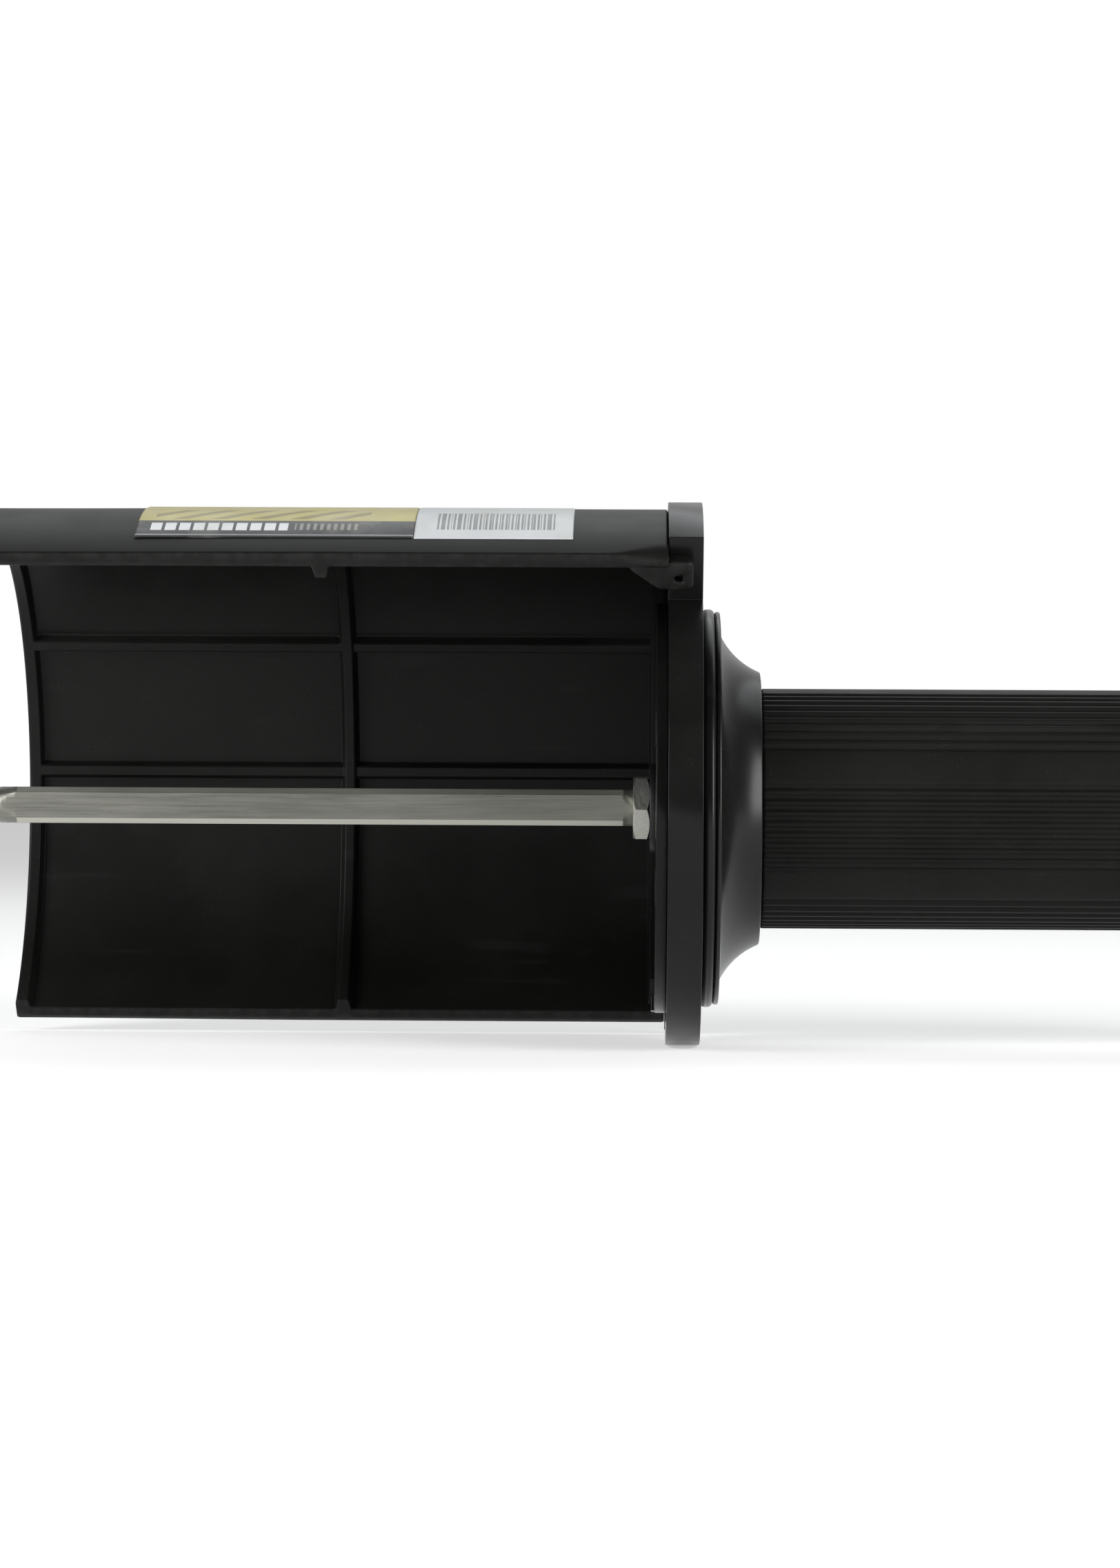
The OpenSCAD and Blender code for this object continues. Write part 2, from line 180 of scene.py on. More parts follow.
def steps(*stops):
    """Positions along a line: (value, count) pairs, count being the steps up to the next value."""
    values = []
    for (a, count), (b, _) in zip(stops, stops[1:]):
        values += [a + (b - a) * i / count for i in range(count)]
    return values + [stops[-1][0]]


def smooth_step(t):
    """0 up to t = 0, 1 from t = 1 on, and a smooth rise between them."""
    t = max(0.0, min(1.0, t))
    return t * t * (3 - 2 * t)


def plateau(distance, half, blend):
    """1 up to half, then a smooth fall to 0 over the blend."""
    return 1 - smooth_step((distance - half) / blend)


def quarter(t):
    """How far a quarter round has dropped, 0 at t = 0 and 1 at t = 1 or beyond."""
    return 1 - math.sqrt(max(0.0, 1 - t * t))


class Surface:
    """Collects points with their marks for rubbed edges and painted highlight, and faces, and makes one
    clean mesh of them.
    """

    def __init__(self):
        self.points = []
        self.faces = []
        self.wear_and_highlight = []

    def ring(self, points, wear_and_highlight=0.0):
        """Adds a row of points, with one mark of wear and painted highlight for all or a list, and gives
        their numbers.
        """
        first = len(self.points)
        self.points += points
        self.wear_and_highlight += wear_and_highlight if isinstance(wear_and_highlight, list) else [wear_and_highlight] * len(points)
        return list(range(first, first + len(points)))

    def join(self, a, b, closed=True):
        """Quads between two rows."""
        for i in range(len(a) if closed else len(a) - 1):
            j = (i + 1) % len(a)
            self.faces.append((a[i], a[j], b[j], b[i]))

    def loft(self, rows, closed=True):
        """Quads between each row and the next."""
        for a, b in zip(rows, rows[1:]):
            self.join(a, b, closed)

    def cap(self, row, centre):
        """A fan from a row to one point."""
        middle = self.ring([centre])[0]
        for i in range(len(row)):
            self.faces.append((row[i], row[(i + 1) % len(row)], middle))

    def mesh(self, name):
        """The mesh in metres, with double points merged, holes filled and normals outwards."""
        mesh = bpy.data.meshes.new(name)
        mesh.from_pydata([Vector(p) * MM for p in self.points], [], self.faces)
        # Per-point mark: wear on the plastics, painted highlight on the spindle bar's bevels.
        layer = mesh.attributes.new("wear_and_highlight", "FLOAT", "POINT")
        for i, value in enumerate(self.wear_and_highlight):
            layer.data[i].value = value
        shape = bmesh.new()
        shape.from_mesh(mesh)
        bmesh.ops.remove_doubles(shape, verts=shape.verts, dist=SAME_POINT)
        bmesh.ops.dissolve_degenerate(shape, edges=shape.edges, dist=SAME_POINT / 10)
        borders = [edge for edge in shape.edges if edge.is_boundary]
        bmesh.ops.holes_fill(shape, edges=borders, sides=0)
        bmesh.ops.recalc_face_normals(shape, faces=shape.faces)
        shape.to_mesh(mesh)
        shape.free()
        for face in mesh.polygons:
            face.use_smooth = True
        return mesh


def corner_at(outline, i):
    """A corner of a closed outline, with the ways from it to the corners before and after."""
    here = Vector(outline[i])
    before = Vector(outline[i - 1]) - here
    after = Vector(outline[(i + 1) % len(outline)]) - here
    return here, before, after


def reach_along(side, reach):
    """The reach of a rounding along one side of a corner, which leaves room for the next corner's."""
    return min(reach, side.length * 0.45)


def corner_curve(start, corner, end, count):
    """Points from start to end on a curve drawn towards the corner."""
    shares = [k / count for k in range(count + 1)]
    return [start.lerp(corner, t).lerp(corner.lerp(end, t), t) for t in shares]


def lathe(name, outline, corner):
    """Body of revolution from a closed outline of (x, radius), with its sharp corners rounded."""
    turns = 160
    surface = Surface()
    rows = []
    for i in range(len(outline)):
        here, before, after = corner_at(outline, i)
        cut = min(reach_along(before, corner), reach_along(after, corner))
        points, wear_and_highlight = [here], 0.0
        if before.angle(after) < math.radians(150):
            start = here + before.normalized() * cut
            end = here + after.normalized() * cut
            points, wear_and_highlight = corner_curve(start, here, end, 4), CORNER_WEAR
        for x, r in points:
            rows.append(surface.ring([polar(r, 360 * j / turns, x) for j in range(turns)], wear_and_highlight))
    surface.loft(rows)
    surface.join(rows[-1], rows[0])
    return surface.mesh(name)


def arc_points(centre, radius, start, end, count):
    """Points of an arc in an (x, radius) outline, angles in degrees."""
    angles = [math.radians(start + (end - start) * i / count) for i in range(count + 1)]
    return [(centre[0] + radius * math.cos(a), centre[1] + radius * math.sin(a)) for a in angles]


def guard_height(angle, x):
    """Height of the relief inside the guard: ribs and end flange."""
    half_rib = RIB_WIDTH / 2 - RIB_FLANK_IN
    heights = [
        RIB_HEIGHT * plateau(x - GUARD_X0, RIM_RIB_WIDTH - RIB_FLANK_IN, RIM_RIB_FLANK),
        MID_RIB_HEIGHT * plateau(abs(x - MID_RIB_X), half_rib, RIB_FLANK),
    ]
    for rib in RIB_ANGLES:
        off = math.radians(abs(angle - rib)) * GUARD_INNER_R
        heights.append(RIB_HEIGHT * plateau(off, half_rib, RIB_FLANK))
    beyond = math.radians(max(FLANGE_ANGLES[0] - angle, angle - FLANGE_ANGLES[1])) * GUARD_INNER_R
    flange = plateau(-x, FLANGE_T - 0.15, 0.35) * plateau(beyond, -0.2, 0.5)
    return max(heights + [FLANGE_HEIGHT * flange])


def guard_grid():
    """Angles and places of the guard's points, closer together at edges, ribs and the flange's ends."""
    low, high = GUARD_ANGLES
    edge_angle = math.degrees(GUARD_EDGE / GUARD_R)
    angles = steps((low, 5), (low + edge_angle, 4), (-47.4, 10), (-45.4, 22),
                   (5, 24), (10, 16), (35, 24), (40, 16), (65, 24), (70, 24),
                   (115, 10), (117, 6), (120, 12), (high - edge_angle, 6), (high, 1))
    places = steps((GUARD_X0, 5), (GUARD_X0 + GUARD_EDGE, 4), (GUARD_X0 + 1.8, 9), (GUARD_X0 + 3.2, 14),
                   (MID_RIB_X - 1.9, 20), (MID_RIB_X + 1.9, 16),
                   (-10, 16), (-3.2, 10), (-2.2, 5), (-GUARD_EDGE, 5), (0, 1))
    return angles, places


def guard_shell():
    """Half-tube with rounded lips, filleted ribs and faint sink marks opposite them."""
    low, high = GUARD_ANGLES
    angles, places = guard_grid()
    surface = Surface()
    outer_rows, inner_rows = [], []
    for x in places:
        end_in = max(0.0, 1 - (x - GUARD_X0) / GUARD_EDGE, 1 + x / GUARD_EDGE)
        near_plate = smooth_step((x + LIP_CUT_LENGTH) / (LIP_CUT_LENGTH - 1))
        cut_width = GUARD_EDGE + (LIP_CUT_WIDTH - GUARD_EDGE) * near_plate
        cut_depth = GUARD_EDGE + (LIP_CUT_DEPTH - GUARD_EDGE) * near_plate
        taper = 0.2 * smooth_step((-x - 60) / 50)      # the free end is a little slimmer
        outer, inside, wear_and_highlight = [], [], []
        for angle in angles:
            to_low = math.radians(angle - low) * GUARD_R
            to_high = math.radians(high - angle) * GUARD_R
            lip_in = max(0.0, 1 - min(to_low, to_high) / GUARD_EDGE)
            cut_in = max(0.0, 1 - to_high / cut_width)
            rounded = GUARD_EDGE * quarter(math.hypot(lip_in, end_in))
            drop = max(rounded, cut_depth * quarter(cut_in))
            sink = sum(SINK_DEPTH * math.exp(-((angle - rib) / SINK_ANGLE) ** 2) for rib in RIB_ANGLES)
            relief = guard_height(angle, x) * (1 - 0.12 * quarter(lip_in))
            outer.append(polar(GUARD_R - drop - sink - taper, angle, x))
            inside.append(polar(GUARD_INNER_R - relief + rounded, angle, x))
            wear_and_highlight.append(min(1.0, max(lip_in, end_in)))
        outer_rows.append(surface.ring(outer, wear_and_highlight))
        inner_rows.append(surface.ring(inside, wear_and_highlight))
    surface.loft(outer_rows, closed=False)
    surface.loft(inner_rows, closed=False)
    for row in (0, -1):
        surface.join(outer_rows[row], inner_rows[row], closed=False)
    for column, swell in ((0, -1), (-1, 1)):
        add_lip(surface, [r[column] for r in outer_rows], [r[column] for r in inner_rows], swell)
    add_ear(surface)
    return surface.mesh("guard_shell_moulding")


def add_lip(surface, outer_edge, inner_edge, swell):
    """Closes a lip between the outer and the inner wall with a slightly swollen face."""
    count = 4
    columns = [outer_edge]
    for k in range(1, count):
        t = k / count
        rise = swell * LIP_SWELL * (1 - (2 * t - 1) ** 2)
        column = []
        for i, (a, b) in enumerate(zip(outer_edge, inner_edge)):
            x, y, z = Vector(surface.points[a]).lerp(Vector(surface.points[b]), t)
            at_end = i in (0, len(outer_edge) - 1)
            turn = rise / GUARD_R * (0.4 if at_end else 1)
            cosine, sine = math.cos(turn), math.sin(turn)
            column.append((x, y * cosine - z * sine, y * sine + z * cosine))
        columns.append(surface.ring(column, LIP_WEAR))
    surface.loft(columns + [inner_edge], closed=False)


def rounded_outline(corners, radius):
    """Closed outline whose corners are curves of the given reach."""
    points = []
    for i in range(len(corners)):
        here, before, after = corner_at(corners, i)
        start = here + before.normalized() * reach_along(before, radius)
        end = here + after.normalized() * reach_along(after, radius)
        points += corner_curve(start, here, end, 5)
    return points


def add_ear(surface):
    """Ear of the upper lip, which laps the end plate's step, with its small blind hole."""
    outline = rounded_outline(EAR_OUTLINE, EAR_CORNER)
    centre = Vector(EAR_HOLE)
    turn = math.degrees(1 / EAR_HOLE[1])     # degrees for a millimetre of depth
    depth = (EAR_ANGLES[1] - EAR_ANGLES[0]) / turn
    rows = []

    def row(points, sunk, wear_and_highlight=0.0):
        """Adds a row of the ear, sunk below its outer face."""
        rows.append(surface.ring([polar(r, EAR_ANGLES[1] - sunk * turn, x) for x, r in points], wear_and_highlight))

    def shrunk(by):
        """The outline drawn in towards the hole."""
        return [p + (centre - p).normalized() * by for p in outline]

    def circle(radius):
        """As many points as the outline has, on a circle round the hole's centre."""
        return [centre + (p - centre).normalized() * radius for p in outline]

    row(shrunk(0.4), depth)
    row(outline, depth - 0.4)
    row(outline, 0.5)
    row(shrunk(0.12), 0.16, 1.0)
    row(shrunk(0.45), 0.0, 1.0)
    row(circle(EAR_HOLE_R + 0.35), 0.0)
    row(circle(EAR_HOLE_R + 0.05), 0.12)
    row(circle(EAR_HOLE_R), 0.35)
    row(circle(EAR_HOLE_R * 0.9), EAR_HOLE_DEPTH - 0.1)
    row(circle(EAR_HOLE_R * 0.4), EAR_HOLE_DEPTH)
    surface.loft(rows)
    surface.cap(rows[0], polar(centre.y, EAR_ANGLES[1] - depth * turn, centre.x))
    surface.cap(rows[-1], polar(centre.y, EAR_ANGLES[1] - EAR_HOLE_DEPTH * turn, centre.x))


def groove_depth(angle):
    """How deep the grip's surface lies at an angle, with each groove's edges eased."""
    half_step = FLUTE_GROUP_STEP / 2
    turned = (angle - FLUTE_FIRST + half_step) % FLUTE_GROUP_STEP - half_step
    if turned < -FLUTE_PITCH / 2:
        turned += FLUTE_GROUP_STEP
    index = round(turned / FLUTE_PITCH)
    if not 0 <= index < FLUTES_PER_GROUP:
        return 0.0
    off = abs(math.radians(turned - index * FLUTE_PITCH) * GRIP_R)
    bottom = FLUTE_R * math.sqrt(max(0.0, 1 - (off / (FLUTE_R + FLUTE_EASE)) ** 2)) - FLUTE_EASE
    return max(0.0, bottom)


def grip_sleeve():
    """Moulded sleeve: groups of rounded grooves between plain lands, soft ends."""
    group_span = FLUTE_PITCH * (FLUTES_PER_GROUP - 1)
    land = (FLUTE_GROUP_STEP - group_span) / 2
    margin = 2.0                             # fine steps reach this far beyond a group's grooves
    angles = []
    for group in range(FLUTE_GROUPS):
        first = FLUTE_FIRST + group * FLUTE_GROUP_STEP
        angles += steps((first - land, 6), (first - margin, 10 * FLUTES_PER_GROUP),
                        (first + group_span + margin, 6), (first + FLUTE_GROUP_STEP - land, 1))[:-1]
    x0, x1 = GRIP_LOW.x, GRIP_HIGH.x
    places = steps((x0, 5), (x0 + GRIP_EDGE, 3), (x0 + 4, 14), (x1 - 4, 3), (x1 - GRIP_EDGE, 5), (x1, 1))
    surface = Surface()
    depths = [groove_depth(a) for a in angles]
    on_edge = [GROOVE_WEAR if 0.01 < d < 0.15 else 0.0 for d in depths]
    rows = []
    for x in places:
        end_in = max(0.0, 1 - (x - x0) / GRIP_EDGE, 1 - (x1 - x) / GRIP_EDGE)
        drop = GRIP_EDGE * quarter(end_in)
        points = [polar(GRIP_R - drop - d * (1 - 0.3 * end_in), a, x) for a, d in zip(angles, depths)]
        rows.append(surface.ring(points, [max(end_in, wear_and_highlight) for wear_and_highlight in on_edge]))
    inner = [surface.ring([polar(GRIP_BORE_R, a, x) for a in angles]) for x in (x1, x0)]
    surface.loft(rows + inner)
    surface.join(inner[-1], rows[0])
    return surface.mesh("grip_sleeve")


def from_face(angle):
    """Degrees from the middle of the nearest face of the square bar."""
    return abs((angle + 45) % 90 - 45)


def bar_radius(angle):
    """Radius of the square bar with bevelled edges at an angle."""
    a = math.radians(from_face(angle))
    bevel = (BAR_HALF + BAR_FLAT) / (math.cos(a) + math.sin(a))
    return min(BAR_HALF / math.cos(a), bevel)


def turned_radius(x):
    """Radius that the bar's ends are turned to, from chamfer to thread and out to the square."""
    corner = math.hypot(BAR_HALF, BAR_FLAT)
    left = THREAD_R + (corner - THREAD_R) * max(0.0, x - SQUARE_X[0]) / RUN_OUT
    right = THREAD_R + (corner - THREAD_R) * max(0.0, NECK_X - x) / (NECK_X - SQUARE_X[1])
    chamfer_left = THREAD_R - STUD_CHAMFER + (x - SPINDLE_LOW.x)
    chamfer_right = THREAD_R - STUD_CHAMFER + (SPINDLE_HIGH.x - x)
    return min(left, right, chamfer_left, chamfer_right)


def thread_depth(angle, x):
    """Depth below the crest of the thread, which fades out towards the square."""
    gap, fade = 0.9, 0.8
    run = min(smooth_step((SQUARE_X[0] - gap - x) / fade) + smooth_step((x - NECK_X - gap) / fade), 1.0)
    wave = abs(((x / THREAD_PITCH + angle / 360) % 1.0) * 2 - 1)
    return run * THREAD_DEPTH * max(0.0, min(1.0, 1.15 - wave * 1.3))


def spindle_bar():
    """Square bar that runs out into turned, threaded ends; its bevels carry a painted highlight."""
    angles = []
    for face in (0, 90, 180, 270):
        start, end = face - BEVEL_ANGLE, face + BEVEL_ANGLE
        angles += steps((start + 1, 6), (end - 1, 4), (end + 1, 4), (start + 89, 4), (start + 91, 1))[:-1]
    x0, x1 = SPINDLE_LOW.x, SPINDLE_HIGH.x
    places = steps((x0, 3), (x0 + STUD_CHAMFER, 92), (SQUARE_X[0] - 0.5, 3), (SQUARE_X[0], 14),
                   (SQUARE_X[0] + RUN_OUT + 0.2, 30), (SQUARE_X[1] - 0.2, 10), (NECK_X, 2),
                   (NECK_X + 0.3, 60), (x1 - STUD_CHAMFER, 3), (x1, 1))
    surface = Surface()
    rows = []
    # Painted highlight: the bevels along the square are marked so that the steel material makes them much
    # lighter than the faces.
    highlit_bevels = [1.0 if from_face(a) > BEVEL_ANGLE + 0.5 else 0.0 for a in angles]
    for x in places:
        points = [polar(min(bar_radius(a), turned_radius(x)) - thread_depth(a, x), a, x) for a in angles]
        on_square = SQUARE_X[0] + RUN_OUT < x < SQUARE_X[1]
        rows.append(surface.ring(points, highlit_bevels if on_square else 0.0))
    surface.loft(rows)
    surface.cap(rows[0], (x0, 0, 0))
    surface.cap(rows[-1], (x1, 0, 0))
    return surface.mesh("spindle_bar")


def hub_flare():
    """Hub with its spigot, rim and concave flare."""
    x1 = HUB_HIGH.x
    rim_r = HUB_HIGH.z
    rim_x1 = HUB_X0 + HUB_RIM_T
    start = math.degrees(math.acos((rim_x1 - FLARE_CENTRE[0]) / FLARE_R))
    end = math.degrees(math.acos((x1 - FLARE_CENTRE[0]) / FLARE_R))
    outline = [(0, HUB_RECESS_R), (0, SPIGOT_R), (HUB_X0, SPIGOT_R), (HUB_X0, rim_r), (rim_x1, rim_r)]
    outline += arc_points(FLARE_CENTRE, FLARE_R, 360 - start, 360 - end, 18)
    outline += [(x1, HUB_SOCKET_R), (HUB_SOCKET_X0, HUB_SOCKET_R), (HUB_SOCKET_X0, HUB_BOSS_R),
                (HUB_BOSS_X1, HUB_BOSS_R), (HUB_BOSS_X1, HUB_BORE_R), (HUB_RECESS_DEPTH, HUB_BORE_R),
                (HUB_RECESS_DEPTH, HUB_RECESS_R)]
    return lathe("hub_flare", outline, HUB_CORNER)


def with_border(low, high, count):
    """Steps from low to high, with one narrow step along each border."""
    return steps((low, 1), (low + LABEL_BORDER, count), (high - LABEL_BORDER, 1), (high, 1))


def label_sheet(name, span):
    """Thin sticker that follows the guard, with a UV map in millimetres and degrees."""
    surface = Surface()
    places = with_border(*span, 24)
    angles = with_border(*LABEL_ANGLES, 40)
    top, under = [], []
    for x in places:
        ring = []
        for angle in angles:
            on_border = x in (places[0], places[-1]) or angle in (angles[0], angles[-1])
            ring.append(polar(LABEL_EDGE_R if on_border else LABEL_R[1], angle, x))
        top.append(surface.ring(ring))
        under.append(surface.ring([polar(LABEL_R[0], a, x) for a in angles]))
    surface.loft(top, closed=False)
    surface.loft(under, closed=False)
    for row in (0, -1):
        surface.join(top[row], under[row], closed=False)
    for column in (0, -1):
        surface.join([r[column] for r in top], [r[column] for r in under], closed=False)
    mesh = surface.mesh(name)
    layer = mesh.uv_layers.new(name="UVMap")
    for loop in mesh.loops:
        x, y, z = mesh.vertices[loop.vertex_index].co / MM
        layer.data[loop.index].uv = (x - span[0], math.degrees(math.atan2(z, y)) - LABEL_ANGLES[0])
    return mesh


# ---------------------------------------------------------------- materials

DUST = (0.09, 0.088, 0.082)
GRIME = (0.32, 0.31, 0.27)


class Recipe:
    """A procedural material, with short ways to add the nodes that the materials share."""

    def __init__(self, name, color, roughness, metallic=0.0, specular=0.5):
        self.material = bpy.data.materials.new(name)
        self.material.use_nodes = True
        self.nodes = self.material.node_tree.nodes
        self.links = self.material.node_tree.links
        self.shader = self.nodes["Principled BSDF"]
        self.set(self.shader, "Base Color", (*color, 1))
        self.set(self.shader, "Roughness", roughness)
        self.set(self.shader, "Metallic", metallic)
        self.set(self.shader, "Specular IOR Level", specular)
        self.place = self.nodes.new("ShaderNodeTexCoord").outputs["Object"]
        self.relief = None

    def set(self, node, socket, value):
        """A number or colour is set, and an output is linked."""
        target = node.inputs[socket]
        if isinstance(value, bpy.types.NodeSocket):
            self.links.new(value, target)
        else:
            target.default_value = value

    def scaled(self, x=1.0, y=1.0, z=1.0):
        """Object coordinates scaled along the axes; a small scale draws a pattern out."""
        node = self.nodes.new("ShaderNodeMapping")
        self.set(node, "Vector", self.place)
        self.set(node, "Scale", (x, y, z))
        return node.outputs["Vector"]

    def noise(self, scale, detail=3.0, rough=0.5, vector=None):
        """Cloudy noise, mostly between 0.3 and 0.7."""
        node = self.nodes.new("ShaderNodeTexNoise")
        self.set(node, "Vector", vector or self.place)
        self.set(node, "Scale", scale)
        self.set(node, "Detail", detail)
        self.set(node, "Roughness", rough)
        return node.outputs["Fac"]

    def cells(self, scale, vector=None):
        """Distance from the nearest cell's point, in parts of a cell."""
        node = self.nodes.new("ShaderNodeTexVoronoi")
        self.set(node, "Vector", vector or self.place)
        self.set(node, "Scale", scale)
        return node.outputs["Distance"]

    def span(self, value, low, high, to_low=0.0, to_high=1.0):
        """Maps low..high to to_low..to_high, clamped."""
        node = self.nodes.new("ShaderNodeMapRange")
        for socket, number in (("Value", value), ("From Min", low), ("From Max", high),
                               ("To Min", to_low), ("To Max", to_high)):
            self.set(node, socket, number)
        return node.outputs["Result"]

    def math(self, operation, a, b=0.0):
        """A sum, product or other result of one or two values."""
        node = self.nodes.new("ShaderNodeMath")
        node.operation = operation
        self.set(node, 0, a)
        self.set(node, 1, b)
        return node.outputs["Value"]

    def times(self, *values):
        """The product of all values."""
        result = values[0]
        for value in values[1:]:
            result = self.math("MULTIPLY", result, value)
        return result

    def blend(self, factor, a, b):
        """Mixes two colours."""
        node = self.nodes.new("ShaderNodeMix")
        node.data_type = "RGBA"
        colours = [s for s in node.inputs if s.type == "RGBA"]
        self.set(node, 0, factor)
        for socket, colour in zip(colours, (a, b)):
            if isinstance(colour, bpy.types.NodeSocket):
                self.links.new(colour, socket)
            else:
                socket.default_value = (*colour, 1)
        return [s for s in node.outputs if s.type == "RGBA"][0]

    def bump(self, height, distance, strength=1.0):
        """Adds one more layer of relief; distance is in metres."""
        node = self.nodes.new("ShaderNodeBump")
        self.set(node, "Height", height)
        self.set(node, "Distance", distance)
        self.set(node, "Strength", strength)
        if self.relief is not None:
            self.links.new(self.relief, node.inputs["Normal"])
        self.relief = node.outputs["Normal"]
        self.links.new(self.relief, self.shader.inputs["Normal"])

    def edges(self):
        """1 where a mesh marks rubbed edges, and on the spindle bar's bevels, which get a painted
        highlight; 0 elsewhere and on meshes without marks.
        """
        node = self.nodes.new("ShaderNodeAttribute")
        node.attribute_name = "wear_and_highlight"
        return node.outputs["Fac"]

    def wear_and_highlight(self):
        """The rubbed edges broken up by noise."""
        return self.times(self.edges(), self.span(self.noise(420, 4, 0.6), 0.42, 0.62))

    def uv(self):
        """A label's place across and round the guard, in millimetres and degrees."""
        node = self.nodes.new("ShaderNodeUVMap")
        node.uv_map = "UVMap"
        split = self.nodes.new("ShaderNodeSeparateXYZ")
        self.links.new(node.outputs["UV"], split.inputs["Vector"])
        return split.outputs["X"], split.outputs["Y"]

    def within(self, value, low, high):
        """1 where a value lies between two others."""
        return self.times(self.math("GREATER_THAN", value, low), self.math("LESS_THAN", value, high))

    def dashes(self, value, period, filled):
        """1 over the filled part of each period."""
        return self.math("LESS_THAN", self.math("FRACT", self.math("DIVIDE", value, period)), filled)


def shade(color, factor):
    """A colour made lighter or darker."""
    return tuple(min(1, c * factor) for c in color)


def lifted(color, amount):
    """A colour with the same amount added to each channel."""
    return tuple(c + amount for c in color)


def moulded_plastic(name, color, roughness, specular=0.5, grain=0.000015, grain_scale=2600):
    """Moulded plastic: spark-eroded grain, cloudy gloss, hairline scratches, dust and rubbed edges."""
    r = Recipe(name, color, roughness, specular=specular)
    cloud = r.noise(38, 4, 0.6)
    flow = r.noise(24, 3, 0.6, r.scaled(0.3, 1.6, 1.6))
    pale = lifted(shade(color, 1.35), 0.001)
    mottle = r.math("ADD", cloud, r.span(flow, 0.3, 0.7, -0.1, 0.1))
    body = r.blend(r.span(mottle, 0.35, 0.7), color, pale)
    scratch = r.times(r.span(r.noise(240, 2, 0.5, r.scaled(0.06, 1, 1)), 0.64, 0.68),
                      r.span(r.noise(46, 2, 0.5), 0.52, 0.6))
    dust = r.times(r.span(r.cells(1500), 0.13, 0.09), r.span(r.noise(150, 2), 0.56, 0.62))
    body = r.blend(r.times(scratch, 0.3), body, lifted(color, 0.012))
    body = r.blend(r.times(dust, 0.3), body, DUST)
    worn = r.wear_and_highlight()
    r.set(r.shader, "Base Color", r.blend(r.times(worn, 0.5), body, lifted(color, 0.014)))
    gloss = r.math("ADD", r.span(cloud, 0.3, 0.7, roughness - 0.05, roughness + 0.06),
                   r.span(flow, 0.35, 0.7, -0.03, 0.04))
    r.set(r.shader, "Roughness", r.math("SUBTRACT", gloss, r.times(worn, 0.05)))
    r.bump(r.noise(grain_scale, 2, 0.6), grain, 0.5)
    r.bump(r.noise(90, 2, 0.5), 0.00005, 0.3)
    r.bump(scratch, -0.000006, 0.5)
    return r.material


def drawn_metal(name, color, roughness, metallic=1.0, along=(0.03, 1, 1), stain=0.35):
    """Drawn metal: fine lines one way, dull patches, pits, a few stains and a painted highlight that lifts
    the marked edges (the spindle bar's bevels).
    """
    r = Recipe(name, color, roughness, metallic=metallic)
    lines = r.noise(2400, 3, 0.7, r.scaled(*along))
    patch = r.noise(70, 4, 0.6, r.scaled(0.35, 1, 1))
    blot = r.noise(34, 5, 0.65, r.scaled(0.6, 1, 1))
    pits = r.times(r.span(r.cells(1300, r.scaled(0.5, 1, 1)), 0.16, 0.1), r.span(r.noise(120), 0.52, 0.6))
    brown = (color[0] * 0.62, color[1] * 0.55, color[2] * 0.42)
    metal = r.blend(r.span(lines, 0.3, 0.75), shade(color, 0.72), color)
    metal = r.blend(r.span(patch, 0.45, 0.75, 0.0, 0.45), metal, shade(color, 1.2))
    metal = r.blend(r.times(pits, 0.5), metal, brown)
    metal = r.blend(r.span(blot, 0.6, 0.72, 0.0, stain), metal, brown)
    # Painted highlight: where a mesh is marked (the spindle bar's bevels) the colour is lifted to 2.3 times
    # brighter.
    r.set(r.shader, "Base Color", r.blend(r.times(r.edges(), 0.8), metal, shade(color, 2.3)))
    r.set(r.shader, "Roughness", r.math("ADD", r.span(patch, 0.35, 0.7, roughness - 0.06, roughness + 0.08),
                                        r.span(lines, 0.3, 0.7, -0.04, 0.06)))
    r.bump(lines, 0.000008, 0.7)
    r.bump(pits, -0.00001, 0.5)
    return r.material


def zinc_plate():
    """Zinc plate: fine mottled cells and cloudy gloss."""
    color = (0.55, 0.56, 0.57)
    r = Recipe("zinc_steel", color, 0.32, metallic=1.0)
    mottle = r.cells(900)
    r.set(r.shader, "Base Color", r.blend(r.span(mottle, 0.1, 0.7), shade(color, 0.75), color))
    r.set(r.shader, "Roughness", r.span(r.noise(260), 0.3, 0.7, 0.24, 0.42))
    r.bump(r.noise(1800), 0.000008, 0.6)
    return r.material


def sintered_bronze():
    """Sintered bronze: porous and oily."""
    r = Recipe("sintered_bronze", (0.5, 0.32, 0.12), 0.45, metallic=1.0)
    pores = r.cells(3200)
    r.set(r.shader, "Base Color", r.blend(r.span(pores, 0.0, 0.35), (0.2, 0.12, 0.05), (0.52, 0.34, 0.13)))
    r.set(r.shader, "Roughness", r.span(r.noise(300), 0.3, 0.7, 0.35, 0.55))
    r.bump(pores, 0.00003, 0.5)
    return r.material


def printed_film(name, printed):
    """Laminated label film: slight orange peel, cloudy gloss and patches of grime."""
    r = Recipe(name, (0.6, 0.6, 0.6), 0.34, specular=0.28)
    grime = r.times(r.span(r.noise(95, 4, 0.6), 0.5, 0.75), 0.35)
    r.set(r.shader, "Base Color", r.blend(grime, printed(r), GRIME))
    r.set(r.shader, "Roughness", r.span(r.noise(140, 3), 0.3, 0.7, 0.26, 0.42))
    r.bump(r.noise(700, 2), 0.00001, 0.4)
    return r.material


